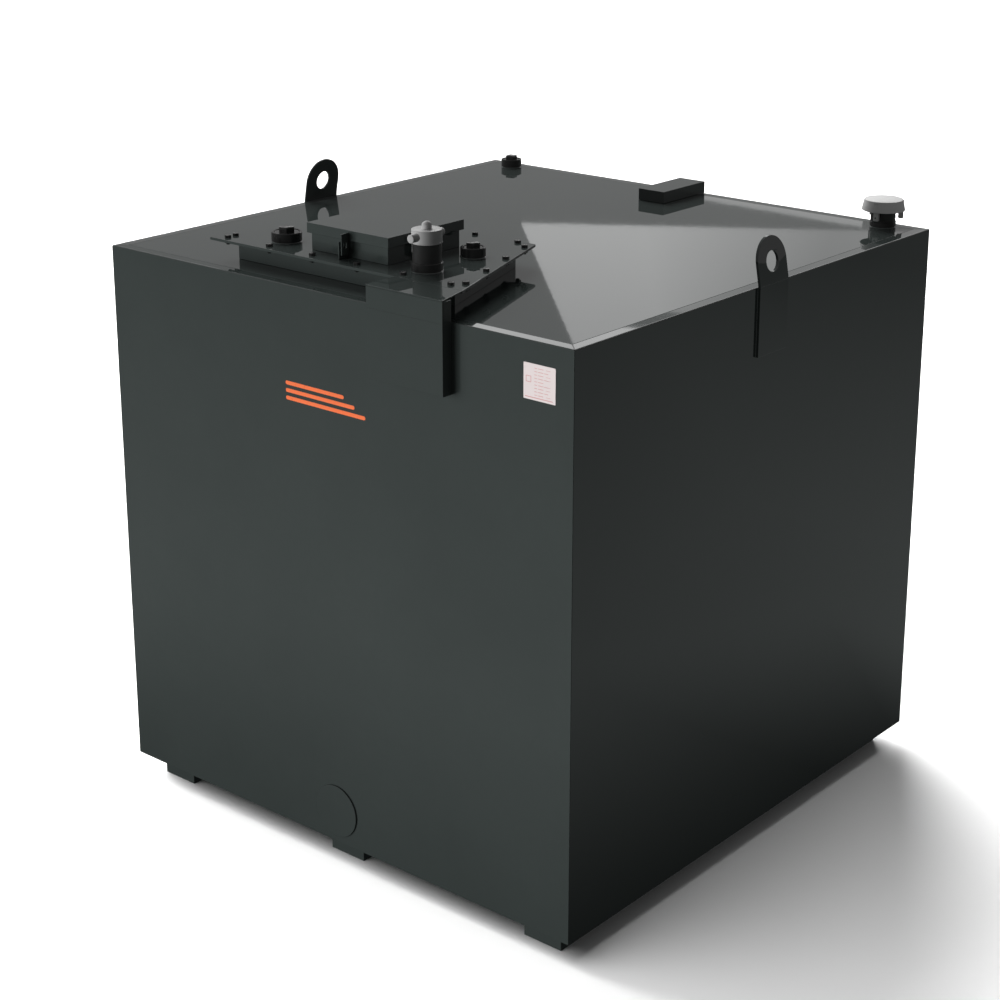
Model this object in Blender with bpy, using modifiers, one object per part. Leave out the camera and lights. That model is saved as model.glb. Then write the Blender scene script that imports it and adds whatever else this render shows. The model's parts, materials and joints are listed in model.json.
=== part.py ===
"""A square steel storage tank on three skids, with a bolted hatch, a hinged fill lid,
a gauge, a vent and two lifting lugs on its top.

Metres, +Z up. The origin is on the ground under the middle of the whole part, the tank's
front faces -Y, and every depth below is counted back from the outside of the front wall.
"""

import math

import bmesh
import bpy
from mathutils import Matrix, Vector

# Tank body
BODY_WIDTH = 1.315
BODY_DEPTH = 1.324
BODY_HEIGHT = 1.250
SHEET = 0.004
TOP_FLANGE_WIDTH = 0.027
FOLD_RADIUS = 0.003
TOP_SEAM = 0.0008
GAP = 0.0003

# Skids under the body
SKID_WIDTH = 0.098
SKID_HEIGHT = 0.052
SKID_SHEET = 0.005
SKID_SETBACK = 0.039
SKID_SPACING = 0.559

# Lifting lugs on the side walls
LUG_WIDTH = 0.106
LUG_SHEET = 0.006
LUG_DROP = 0.150
LUG_EYE_RISE = 0.046
LUG_EYE_RADIUS = 0.022
LUG_LEAN = math.radians(10.0)
LUG_FOLD_RISE = 0.002

# Bolted hatch, a trapezoid with its long side at the front
HATCH_X = -0.031
HATCH_SETBACK = 0.057
HATCH_DEPTH = 0.401
HATCH_FRONT_WIDTH = 0.726
HATCH_BACK_WIDTH = 0.442
HATCH_RISE = 0.0475
HATCH_SHEET = 0.006
HATCH_OVERHANG = 0.036

# Fill box on the hatch, with a hinged lid
FILL_X = -0.030
FILL_SETBACK = 0.226
FILL_SIDE = 0.221
FILL_SHEET = 0.003
LID_OVERHANG = 0.007
LID_SHEET = 0.002
LID_SKIRT = 0.022
LID_RISE = 0.0594

# Hinge behind the fill box
KNUCKLE_RADIUS = 0.005
LID_KNUCKLE_RADIUS = 0.0047
PIN_RADIUS = 0.0025
PIN_CLEARANCE = 0.0003
HINGE_DROP = 0.006
HINGE_WIDTH = 0.180
LID_KNUCKLE_WIDTH = 0.080
KNUCKLE_END_GAP = 0.0005

# Padlock plates in front of the fill box
HASP_X = -0.026
HASP_SHEET = 0.003
HASP_REACH = 0.021
HASP_TOP = 0.0545
HASP_BOTTOM = 0.009
HASP_EYE_RISE = 0.0295
HASP_EYE_WIDTH = 0.009
HASP_EYE_HEIGHT = 0.014
STAPLE_BOTTOM = 0.0003
STAPLE_TOP = 0.0370
STAPLE_SPACE = 0.005

# Plugged sockets
SOCKET_HEIGHT = 0.021
LEFT_SOCKET = {"x": -0.241, "setback": 0.140, "radius": 0.0336, "head": 0.0243, "rise": 0.0105, "turn": 0.0}
RIGHT_SOCKET = {"x": 0.160, "setback": 0.289, "radius": 0.0270, "head": 0.0215, "rise": 0.0095, "turn": -4.0}
REAR_SOCKET = {"x": -0.561, "setback": 1.276, "radius": 0.0265, "head": 0.0225, "rise": 0.0095, "turn": 10.0}
SOCKET_WALL = 0.006

# Level gauge
GAUGE_X = 0.168
GAUGE_SETBACK = 0.137
GAUGE_SOCKET_RADIUS = 0.0330
GAUGE_SOCKET_HEIGHT = 0.019
GAUGE_PIPE_RADIUS = 0.0301
GAUGE_CAP_BOTTOM = 0.0582
GAUGE_CAP_TOP = 0.0865
GAUGE_CAP_RADIUS = 0.0320
GAUGE_STUB_RADIUS = 0.0087
GAUGE_STUB_REACH = 0.0495
GAUGE_STUB_DROP = 0.0134
GAUGE_KNOB_RADIUS = 0.0103
GAUGE_KNOB_RISE = 0.016
GAUGE_KNOB_DOME = 0.005

# Vent at the rear right corner
VENT_X = 0.558
VENT_SETBACK = 1.281
VENT_COLLAR_RADIUS = 0.0302
VENT_COLLAR_HEIGHT = 0.013
VENT_NECK_RADIUS = 0.0288
VENT_CAP_BOTTOM = 0.039
VENT_CAP_TOP = 0.064
VENT_CAP_TOP_RADIUS = 0.045
VENT_CAP_RIM_RADIUS = 0.0503
VENT_CAP_SHEET = 0.0025
VENT_LEG_SIDE = 0.011
VENT_LEG_RADIUS = 0.0405
VENT_LEG_BOTTOM = 0.019
VENT_LEG_TURNS = (-82.5, 37.5, 157.5)

# Cover over the rear edge of the top
REAR_COVER_X = -0.011
REAR_COVER_WIDTH = 0.076
REAR_COVER_LENGTH = 0.174
REAR_COVER_RISE = 0.029
REAR_COVER_SHEET = 0.003

# Pipe shroud folded over the front edge
SHROUD_LEFT = 0.151
SHROUD_RIGHT = 0.354
SHROUD_TOP_BACK_RIGHT = 0.332
SHROUD_STANDOFF = 0.026
SHROUD_SHEET = 0.003
SHROUD_DROP = 0.147

# Round blanking disc low on the front wall
DISC_X = 0.0075
DISC_RISE = 0.0754
DISC_RADIUS = 0.061
DISC_SHEET = 0.003
DISC_CHAMFER = 0.0008

# Small edges, the fineness of round shapes, and the angle above which an edge stays sharp
EDGE = 0.0006
ROUND_STEPS = 40
LUG_STEPS = 24
LUG_EYE_STEPS = 28
SLOT_END_STEPS = 8
FOLD_STEPS = 3
KNOB_STEPS = 4
SHARP_ANGLE = math.radians(40.0)
WELD_DISTANCE = 0.00001

# Turns a flat outline so that its first axis points along Y, its second up and its thickness along X
STAND = Matrix(((0, 0, 1, 0), (1, 0, 0, 0), (0, 1, 0, 0), (0, 0, 0, 1)))

# Heights and depths that the sizes above give
BODY_BOTTOM = SKID_HEIGHT
BODY_TOP = SKID_HEIGHT + BODY_HEIGHT
OVERALL_DEPTH = SHROUD_STANDOFF + VENT_SETBACK + VENT_CAP_RIM_RADIUS
FRONT_Y = SHROUD_STANDOFF - OVERALL_DEPTH / 2
HATCH_TOP = BODY_TOP + HATCH_RISE
LID_TOP = HATCH_TOP + LID_RISE
LID_BOTTOM = LID_TOP - LID_SKIRT
FILL_Y = FRONT_Y + FILL_SETBACK
HINGE_Y = FILL_Y + FILL_SIDE / 2 + KNUCKLE_RADIUS + GAP
HINGE_Z = LID_BOTTOM - HINGE_DROP


def clear_scene():
    for thing in list(bpy.data.objects):
        bpy.data.objects.remove(thing, do_unlink=True)


def new_collection(name):
    collection = bpy.data.collections.new(name)
    bpy.context.scene.collection.children.link(collection)
    return collection


clear_scene()
PARTS = new_collection("storage_tank")
CUTTERS = new_collection("cutters")


def new_material(name, colour, roughness, metallic=0.0):
    material = bpy.data.materials.new(name)
    material.use_nodes = True
    shader = material.node_tree.nodes["Principled BSDF"]
    shader.inputs["Base Color"].default_value = (*colour, 1.0)
    shader.inputs["Roughness"].default_value = roughness
    shader.inputs["Metallic"].default_value = metallic
    return material


PAINT = new_material("dark_paint", (0.040, 0.045, 0.044), 0.35)
BLACK_STEEL = new_material("black_steel", (0.022, 0.022, 0.022), 0.45)
WHITE_PLASTIC = new_material("white_plastic", (0.60, 0.60, 0.60), 0.40)
ZINC = new_material("zinc_plate", (0.30, 0.30, 0.29), 0.40, 1.0)


def add_mesh(name, mesh_builder, material, collection=PARTS):
    """Make one object from a bmesh and give it its material."""
    mesh = bpy.data.meshes.new(name)
    mesh_builder.normal_update()
    mesh_builder.to_mesh(mesh)
    mesh_builder.free()
    mesh.shade_smooth()
    mesh.set_sharp_from_angle(angle=SHARP_ANGLE)
    thing = bpy.data.objects.new(name, mesh)
    if material is not None:
        mesh.materials.append(material)
    collection.objects.link(thing)
    return thing


def add_bevel(thing, width=EDGE):
    bevel = thing.modifiers.new("edges", "BEVEL")
    bevel.width = width
    bevel.segments = 1
    bevel.limit_method = "ANGLE"
    bevel.angle_limit = SHARP_ANGLE


def combine(thing, other, operation):
    """Join, cut or intersect two meshes; the second one is kept as a hidden cutter."""
    other.hide_render = True
    other.display_type = "WIRE"
    change = thing.modifiers.new(operation.lower(), "BOOLEAN")
    change.operation = operation
    change.object = other
    change.solver = "EXACT"


def box(name, low, high, material=PAINT, collection=PARTS):
    """A block between two corners."""
    low = Vector(low)
    high = Vector(high)
    builder = bmesh.new()
    bmesh.ops.create_cube(builder, size=1.0)
    bmesh.ops.scale(builder, vec=high - low, verts=builder.verts)
    thing = add_mesh(name, builder, material, collection)
    thing.location = (low + high) / 2
    return thing


def tray(name, low, high, sheet, opens, material=PAINT):
    """A box of sheet metal with one open side; opens is 1 for the top and -1 for the bottom."""
    low = Vector(low)
    high = Vector(high)
    builder = bmesh.new()
    bmesh.ops.create_cube(builder, size=1.0)
    bmesh.ops.scale(builder, vec=high - low, verts=builder.verts)
    mouth = max(builder.faces, key=lambda face: opens * face.calc_center_median().z)
    bmesh.ops.inset_individual(builder, faces=[mouth], thickness=sheet, use_even_offset=True)
    floor = bmesh.ops.extrude_discrete_faces(builder, faces=[mouth])["faces"][0]
    depth = high.z - low.z - sheet
    bmesh.ops.translate(builder, vec=(0.0, 0.0, -opens * depth), verts=floor.verts)
    thing = add_mesh(name, builder, material)
    thing.location = (low + high) / 2
    return thing


def prism(name, outlines, thickness, material=PAINT, collection=PARTS):
    """A flat plate, from one closed outline and any holes in it, centred on its own XY plane."""
    curve = bpy.data.curves.new(name, "CURVE")
    curve.dimensions = "2D"
    curve.fill_mode = "BOTH"
    curve.extrude = thickness / 2
    for outline in outlines:
        spline = curve.splines.new("POLY")
        spline.points.add(len(outline) - 1)
        for point, (x, y) in zip(spline.points, outline):
            point.co = (x, y, 0.0, 1.0)
        spline.use_cyclic_u = True
    guide = bpy.data.objects.new(name + "_outline", curve)
    PARTS.objects.link(guide)
    evaluated = guide.evaluated_get(bpy.context.evaluated_depsgraph_get())
    mesh = bpy.data.meshes.new_from_object(evaluated)
    mesh.name = name
    bpy.data.objects.remove(guide, do_unlink=True)
    builder = bmesh.new()
    builder.from_mesh(mesh)
    bpy.data.meshes.remove(mesh)
    bmesh.ops.remove_doubles(builder, verts=builder.verts, dist=WELD_DISTANCE)
    bmesh.ops.recalc_face_normals(builder, faces=builder.faces)
    return add_mesh(name, builder, material, collection)


def turned(name, profile, material=BLACK_STEEL, closed=False):
    """A shape turned about Z; the profile is at +X and runs down its outer side."""
    mesh = bpy.data.meshes.new(name)
    links = [(i, i + 1) for i in range(len(profile) - 1)]
    if closed:
        links.append((len(profile) - 1, 0))
    mesh.from_pydata([(radius, 0.0, z) for radius, z in profile], links, [])
    mesh.materials.append(material)
    thing = bpy.data.objects.new(name, mesh)
    PARTS.objects.link(thing)
    screw = thing.modifiers.new("turn", "SCREW")
    screw.axis = "Z"
    screw.steps = ROUND_STEPS
    screw.render_steps = ROUND_STEPS
    screw.use_merge_vertices = True
    screw.merge_threshold = WELD_DISTANCE
    return thing


def arc(centre, radius, start, end, steps):
    """Points along an arc, in degrees."""
    points = []
    for i in range(steps + 1):
        angle = math.radians(start + (end - start) * i / steps)
        points.append((centre[0] + radius * math.cos(angle), centre[1] + radius * math.sin(angle)))
    return points


def inset_outline(outline, distance):
    """Move each side of a convex outline, given anticlockwise, inwards by a distance."""
    count = len(outline)
    sides = []
    for i in range(count):
        start = Vector(outline[i])
        along = (Vector(outline[(i + 1) % count]) - start).normalized()
        inward = Vector((-along.y, along.x))
        sides.append((start + inward * distance, along))
    corners = []
    for i in range(count):
        start_a, along_a = sides[i - 1]
        start_b, along_b = sides[i]
        reach = (start_b - start_a).cross(along_b) / along_a.cross(along_b)
        corners.append(start_a + along_a * reach)
    return corners


def walls_around(names, outline, sheet, bottom, top):
    """One upright wall along each side of an outline, mitred where they meet."""
    outer = [Vector(corner) for corner in outline]
    inner = inset_outline(outline, sheet)
    for i, name in enumerate(names):
        j = (i + 1) % len(outer)
        relief = (outer[j] - outer[i]).normalized() * GAP
        corners = [outer[i] + relief, outer[j] - relief, inner[j] - relief, inner[i] + relief]
        wall = prism(name, [corners], top - bottom)
        wall.location.z = (bottom + top) / 2


def body_wall(name, length, depth, turn):
    """One side of the tank: a sheet folded inwards along its top, with mitred ends."""
    height = BODY_HEIGHT
    fold = arc((FOLD_RADIUS, height - FOLD_RADIUS), FOLD_RADIUS, 180.0, 90.0, FOLD_STEPS)
    profile = [(0.0, 0.0)] + fold
    profile += [(TOP_FLANGE_WIDTH, height), (TOP_FLANGE_WIDTH, height - SHEET)]
    profile += [(SHEET, height - SHEET), (SHEET, 0.0)]
    wall = prism(name, [profile], length)
    wall.data.transform(STAND)
    builder = bmesh.new()
    builder.from_mesh(wall.data)
    for side in (-1, 1):
        corner = Vector((side * (length / 2 - GAP), 0.0, 0.0))
        everything = builder.verts[:] + builder.edges[:] + builder.faces[:]
        cut = bmesh.ops.bisect_plane(
            builder, geom=everything, plane_co=corner, plane_no=(side, 1.0, 0.0), clear_outer=True
        )
        rim = [item for item in cut["geom_cut"] if isinstance(item, bmesh.types.BMEdge)]
        bmesh.ops.triangle_fill(builder, edges=rim, use_beauty=True)
    bmesh.ops.recalc_face_normals(builder, faces=builder.faces)
    builder.to_mesh(wall.data)
    builder.free()
    middle_y = FRONT_Y + BODY_DEPTH / 2
    place = Matrix.Rotation(turn, 4, "Z") @ Matrix.Translation((0.0, -depth / 2, 0.0))
    wall.matrix_world = Matrix.Translation((0.0, middle_y, BODY_BOTTOM)) @ place


def build_body():
    body_wall("front_wall", BODY_WIDTH, BODY_DEPTH, 0.0)
    body_wall("right_wall", BODY_DEPTH, BODY_WIDTH, math.pi / 2)
    body_wall("back_wall", BODY_WIDTH, BODY_DEPTH, math.pi)
    body_wall("left_wall", BODY_DEPTH, BODY_WIDTH, -math.pi / 2)
    back_y = FRONT_Y + BODY_DEPTH
    inset = SHEET + GAP
    low = (-BODY_WIDTH / 2 + inset, FRONT_Y + inset, BODY_BOTTOM)
    high = (BODY_WIDTH / 2 - inset, back_y - inset, BODY_BOTTOM + SHEET)
    box("base_plate", low, high)
    inset = TOP_FLANGE_WIDTH + TOP_SEAM
    low = (-BODY_WIDTH / 2 + inset, FRONT_Y + inset, BODY_TOP - SHEET)
    high = (BODY_WIDTH / 2 - inset, back_y - inset, BODY_TOP)
    box("top_plate", low, high)


def build_skids():
    near = FRONT_Y + SKID_SETBACK
    far = FRONT_Y + BODY_DEPTH - SKID_SETBACK
    for name, x in (("skid_left", -SKID_SPACING), ("skid_middle", 0.0), ("skid_right", SKID_SPACING)):
        low = (x - SKID_WIDTH / 2, near, 0.0)
        high = (x + SKID_WIDTH / 2, far, SKID_HEIGHT - GAP)
        skid = tray(name, low, high, SKID_SHEET, 1)
        add_bevel(skid)


def build_lug(name, side):
    """A plate on the outside of a side wall, folded inwards above the top edge, with an eye."""
    top = BODY_TOP + LUG_EYE_RISE + LUG_WIDTH / 2
    fold_z = BODY_TOP + LUG_FOLD_RISE
    length = top + LUG_SHEET - fold_z
    lean = Vector((-math.sin(LUG_LEAN), math.cos(LUG_LEAN))) * length
    across = Vector((math.cos(LUG_LEAN), math.sin(LUG_LEAN))) * LUG_SHEET
    fold_out = LUG_SHEET * math.tan(LUG_LEAN / 2)
    strip = [(0.0, BODY_TOP - LUG_DROP), (LUG_SHEET, BODY_TOP - LUG_DROP), (LUG_SHEET, fold_z + fold_out)]
    strip += [(lean.x + across.x, fold_z + lean.y + across.y), (lean.x, fold_z + lean.y), (0.0, fold_z)]
    plate = prism(name, [[(side * x, z) for x, z in strip]], LUG_WIDTH)
    plate.data.transform(Matrix.Rotation(math.pi / 2, 4, "X"))
    eye_z = BODY_TOP + LUG_EYE_RISE
    half = LUG_WIDTH / 2
    below = BODY_TOP - LUG_DROP - LUG_WIDTH
    outline = [(half, below)] + arc((0.0, eye_z), half, 0.0, 180.0, LUG_STEPS) + [(-half, below)]
    eye = arc((0.0, eye_z), LUG_EYE_RADIUS, 0.0, 360.0, LUG_EYE_STEPS)[:-1]
    shape = prism(name + "_shape", [outline, eye], LUG_WIDTH, None, CUTTERS)
    shape.data.transform(STAND)
    middle_y = FRONT_Y + BODY_DEPTH / 2
    shift = Vector((side * (BODY_WIDTH / 2 + GAP), middle_y, 0.0))
    plate.location = shift
    shape.location = shift
    combine(plate, shape, "INTERSECT")


def hatch_outline(inset):
    """The hatch's four corners, anticlockwise from the front left, moved in by a distance."""
    near = FRONT_Y + HATCH_SETBACK
    far = near + HATCH_DEPTH
    front = HATCH_FRONT_WIDTH / 2
    back = HATCH_BACK_WIDTH / 2
    corners = [(HATCH_X - front, near), (HATCH_X + front, near), (HATCH_X + back, far), (HATCH_X - back, far)]
    return inset_outline(corners, inset)


def build_hatch():
    names = ["hatch_upstand_front", "hatch_upstand_right", "hatch_upstand_back", "hatch_upstand_left"]
    bottom = BODY_TOP + GAP
    top = HATCH_TOP - HATCH_SHEET - GAP
    walls_around(names, hatch_outline(HATCH_OVERHANG), SHEET, bottom, top)
    plate = prism("hatch_plate", [hatch_outline(0.0)], HATCH_SHEET)
    plate.location.z = HATCH_TOP - HATCH_SHEET / 2
    add_bevel(plate)


def build_fill_box():
    half = FILL_SIDE / 2
    near = FILL_Y - half
    far = FILL_Y + half
    outline = [(FILL_X - half, near), (FILL_X + half, near), (FILL_X + half, far), (FILL_X - half, far)]
    names = ["fill_box_front", "fill_box_right", "fill_box_back", "fill_box_left"]
    walls_around(names, outline, FILL_SHEET, HATCH_TOP + GAP, LID_TOP - LID_SHEET - GAP)


def build_fill_lid():
    reach = FILL_SIDE / 2 + LID_OVERHANG
    low = (FILL_X - reach, FILL_Y - reach, LID_BOTTOM)
    high = (FILL_X + reach, FILL_Y + reach, LID_TOP)
    lid = tray("fill_lid", low, high, LID_SHEET, -1)
    add_bevel(lid)


def knuckle(name, radius, left, right):
    """A short tube on the hinge's axis."""
    bore = PIN_RADIUS + PIN_CLEARANCE
    profile = [(bore, left), (bore, right), (radius, right), (radius, left)]
    tube = turned(name, profile, PAINT, closed=True)
    tube.matrix_world = Matrix.Translation((FILL_X, HINGE_Y, HINGE_Z)) @ Matrix.Rotation(math.pi / 2, 4, "Y")
    return tube


def build_hinge():
    end = HINGE_WIDTH / 2
    middle = LID_KNUCKLE_WIDTH / 2
    knuckle("hinge_knuckle_left", KNUCKLE_RADIUS, -end, -middle - KNUCKLE_END_GAP)
    knuckle("hinge_knuckle_right", KNUCKLE_RADIUS, middle + KNUCKLE_END_GAP, end)
    moving = knuckle("lid_knuckle", LID_KNUCKLE_RADIUS, -middle, middle)
    inner_face = FILL_Y + FILL_SIDE / 2 + LID_OVERHANG - LID_SHEET
    low = (FILL_X - middle, inner_face, HINGE_Z + (PIN_RADIUS + LID_KNUCKLE_RADIUS) / 2)
    high = (FILL_X + middle, inner_face + LID_SHEET, LID_BOTTOM - GAP)
    leaf = box("lid_leaf", low, high, None, CUTTERS)
    combine(moving, leaf, "UNION")
    profile = [(0.0, end), (PIN_RADIUS, end), (PIN_RADIUS, -end), (0.0, -end)]
    pin = turned("hinge_pin", profile, ZINC)
    pin.matrix_world = Matrix.Translation((FILL_X, HINGE_Y, HINGE_Z)) @ Matrix.Rotation(math.pi / 2, 4, "Y")


def padlock_plate(name, x, inner_y, outer_y, bottom, top, eye_y):
    """An upright plate that stands out from the fill box, with a hole for a padlock."""
    eye_z = HATCH_TOP + HASP_EYE_RISE
    half = HASP_EYE_WIDTH / 2
    straight = HASP_EYE_HEIGHT / 2 - half
    eye = arc((eye_y, eye_z + straight), half, 0.0, 180.0, SLOT_END_STEPS)
    eye += arc((eye_y, eye_z - straight), half, 180.0, 360.0, SLOT_END_STEPS)
    outline = [(outer_y, bottom), (inner_y, bottom), (inner_y, top), (outer_y, top)]
    plate = prism(name, [outline, eye], HASP_SHEET)
    plate.data.transform(STAND)
    plate.location.x = x


def build_hasp():
    box_y = FILL_Y - FILL_SIDE / 2
    skirt_y = box_y - LID_OVERHANG
    outer_y = skirt_y - HASP_REACH
    eye_y = (skirt_y + outer_y) / 2
    padlock_plate(
        "lid_hasp", HASP_X, skirt_y - GAP, outer_y, HATCH_TOP + HASP_BOTTOM, HATCH_TOP + HASP_TOP, eye_y
    )
    staple_x = HASP_X - HASP_SHEET - STAPLE_SPACE
    padlock_plate(
        "hasp_staple", staple_x, box_y - GAP, outer_y, HATCH_TOP + STAPLE_BOTTOM, HATCH_TOP + STAPLE_TOP, eye_y
    )


def build_plugged_socket(prefix, sizes, floor):
    """A round socket with a screwed plug that has a square head."""
    y = FRONT_Y + sizes["setback"]
    radius = sizes["radius"]
    bore = radius - SOCKET_WALL
    bottom = floor + GAP
    top = floor + SOCKET_HEIGHT
    profile = [(bore, bottom), (bore, top), (radius - EDGE, top), (radius, top - EDGE), (radius, bottom)]
    socket = turned(prefix + "_socket", profile, closed=True)
    socket.location = (sizes["x"], y, 0.0)
    body_radius = bore - GAP
    seat = top - EDGE
    profile = [(0.0, seat), (body_radius, seat), (body_radius, bottom), (0.0, bottom)]
    plug = turned(prefix + "_plug", profile)
    plug.location = (sizes["x"], y, 0.0)
    half = sizes["head"] / 2
    head_top = top + sizes["rise"]
    head = box(prefix + "_head", (-half, -half, seat - EDGE), (half, half, head_top), None, CUTTERS)
    head.location += Vector((sizes["x"], y, 0.0))
    head.rotation_euler.z = math.radians(sizes["turn"])
    combine(plug, head, "UNION")


def build_gauge():
    y = FRONT_Y + GAUGE_SETBACK
    bottom = HATCH_TOP + GAP
    bore = GAUGE_PIPE_RADIUS + GAP
    top = HATCH_TOP + GAUGE_SOCKET_HEIGHT
    outer = GAUGE_SOCKET_RADIUS
    profile = [(bore, bottom), (bore, top), (outer - EDGE, top), (outer, top - EDGE), (outer, bottom)]
    socket = turned("gauge_socket", profile, closed=True)
    socket.location = (GAUGE_X, y, 0.0)

    pipe_top = HATCH_TOP + GAUGE_CAP_BOTTOM - GAP
    profile = [(0.0, pipe_top), (GAUGE_PIPE_RADIUS, pipe_top), (GAUGE_PIPE_RADIUS, bottom), (0.0, bottom)]
    pipe = turned("gauge_pipe", profile)
    pipe.location = (GAUGE_X, y, 0.0)

    cap_top = HATCH_TOP + GAUGE_CAP_TOP
    cap_bottom = HATCH_TOP + GAUGE_CAP_BOTTOM
    radius = GAUGE_CAP_RADIUS
    knob = GAUGE_KNOB_RADIUS
    dome = GAUGE_KNOB_DOME
    profile = [(0.0, cap_top + GAUGE_KNOB_RISE)]
    for i in range(1, KNOB_STEPS + 1):
        angle = math.pi / 2 * i / KNOB_STEPS
        height = cap_top + GAUGE_KNOB_RISE - dome + dome * math.cos(angle)
        profile.append((knob * math.sin(angle), height))
    profile += [(knob, cap_top), (radius - 2 * EDGE, cap_top), (radius, cap_top - 2 * EDGE)]
    profile += [(radius - EDGE, cap_bottom), (0.0, cap_bottom)]
    cap = turned("gauge_cap", profile, WHITE_PLASTIC)
    cap.location = (GAUGE_X, y, 0.0)

    reach = GAUGE_STUB_REACH
    profile = [(0.0, reach), (GAUGE_STUB_RADIUS - EDGE, reach), (GAUGE_STUB_RADIUS, reach - EDGE)]
    profile += [(GAUGE_STUB_RADIUS, EDGE - reach), (GAUGE_STUB_RADIUS - EDGE, -reach), (0.0, -reach)]
    stubs = turned("gauge_stubs", profile, WHITE_PLASTIC)
    place = Matrix.Translation((GAUGE_X, y, cap_top - GAUGE_STUB_DROP))
    stubs.matrix_world = place @ Matrix.Rotation(math.pi / 2, 4, "X")
    PARTS.objects.unlink(stubs)
    CUTTERS.objects.link(stubs)
    combine(cap, stubs, "UNION")


def build_vent():
    y = FRONT_Y + VENT_SETBACK
    bottom = BODY_TOP + GAP
    step = BODY_TOP + VENT_COLLAR_HEIGHT
    under_cap = BODY_TOP + VENT_CAP_TOP - VENT_CAP_SHEET
    neck_top = under_cap - GAP
    profile = [(0.0, neck_top), (VENT_NECK_RADIUS, neck_top), (VENT_NECK_RADIUS, step)]
    profile += [(VENT_COLLAR_RADIUS, step), (VENT_COLLAR_RADIUS, bottom), (0.0, bottom)]
    neck = turned("vent_neck", profile)
    neck.location = (VENT_X, y, 0.0)

    cap_top = BODY_TOP + VENT_CAP_TOP
    rim = BODY_TOP + VENT_CAP_BOTTOM
    top_radius = VENT_CAP_TOP_RADIUS
    profile = [(0.0, cap_top), (top_radius - 2 * EDGE, cap_top), (top_radius, cap_top - 2 * EDGE)]
    profile += [(VENT_CAP_RIM_RADIUS, rim), (VENT_CAP_RIM_RADIUS - VENT_CAP_SHEET, rim)]
    profile += [(top_radius - VENT_CAP_SHEET, under_cap), (0.0, under_cap)]
    cap = turned("vent_cap", profile, WHITE_PLASTIC)
    cap.location = (VENT_X, y, 0.0)
    half = VENT_LEG_SIDE / 2
    for number, turn in enumerate(VENT_LEG_TURNS):
        low = (VENT_LEG_RADIUS - half, -half, BODY_TOP + VENT_LEG_BOTTOM)
        high = (VENT_LEG_RADIUS + half, half, under_cap + VENT_CAP_SHEET / 2)
        leg = box(f"vent_leg_{number}", low, high, None, CUTTERS)
        spin = Matrix.Translation((VENT_X, y, 0.0)) @ Matrix.Rotation(math.radians(turn), 4, "Z")
        leg.matrix_world = spin @ Matrix.Translation(leg.location)
        combine(cap, leg, "UNION")


def build_rear_cover():
    back_y = FRONT_Y + BODY_DEPTH
    low = (REAR_COVER_X - REAR_COVER_WIDTH / 2, back_y - REAR_COVER_LENGTH, BODY_TOP + GAP)
    high = (REAR_COVER_X + REAR_COVER_WIDTH / 2, back_y, BODY_TOP + REAR_COVER_RISE)
    cover = tray("rear_cover", low, high, REAR_COVER_SHEET, -1)
    add_bevel(cover)


def build_shroud():
    face = FRONT_Y - SHROUD_STANDOFF
    bottom = BODY_TOP - SHROUD_DROP
    under = HATCH_TOP - SHROUD_SHEET
    back = FRONT_Y + HATCH_SETBACK - GAP
    outline = [(SHROUD_LEFT, face), (SHROUD_RIGHT, face), (SHROUD_TOP_BACK_RIGHT, back), (SHROUD_LEFT, back)]
    top = prism("shroud_top", [outline], SHROUD_SHEET)
    top.location.z = HATCH_TOP - SHROUD_SHEET / 2
    inside = face + SHROUD_SHEET
    box("shroud_front", (SHROUD_LEFT, face, bottom), (SHROUD_RIGHT, inside, under - GAP))
    cheeks = (("shroud_left_cheek", SHROUD_LEFT), ("shroud_right_cheek", SHROUD_RIGHT - SHROUD_SHEET))
    for name, x in cheeks:
        box(name, (x, inside + GAP, bottom), (x + SHROUD_SHEET, FRONT_Y - GAP, under - GAP))


def build_disc():
    radius = DISC_RADIUS
    front = DISC_SHEET + GAP
    profile = [(0.0, front), (radius - DISC_CHAMFER, front), (radius, front - DISC_CHAMFER)]
    profile += [(radius, GAP), (0.0, GAP)]
    disc = turned("blanking_disc", profile, PAINT)
    place = Matrix.Translation((DISC_X, FRONT_Y, BODY_BOTTOM + DISC_RISE))
    disc.matrix_world = place @ Matrix.Rotation(math.pi / 2, 4, "X")


build_body()
build_skids()
build_lug("lifting_lug_left", -1)
build_lug("lifting_lug_right", 1)
build_hatch()
build_fill_box()
build_fill_lid()
build_hinge()
build_hasp()
build_plugged_socket("left", LEFT_SOCKET, HATCH_TOP)
build_plugged_socket("right", RIGHT_SOCKET, HATCH_TOP)
build_plugged_socket("rear", REAR_SOCKET, BODY_TOP)
build_gauge()
build_vent()
build_rear_cover()
build_shroud()
build_disc()
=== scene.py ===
"""The finish, fasteners, fittings and light of a square steel storage tank on skids.

Metres, +Z up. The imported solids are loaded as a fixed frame: the sheets stay as they are and
get their paint and their broken edges here, the small turned fittings are replaced by finer
ones in the same places, and bolts, welds, plates and markings are added.
"""
import json
import math

import bmesh
import bpy
from mathutils import Matrix, Vector


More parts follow.
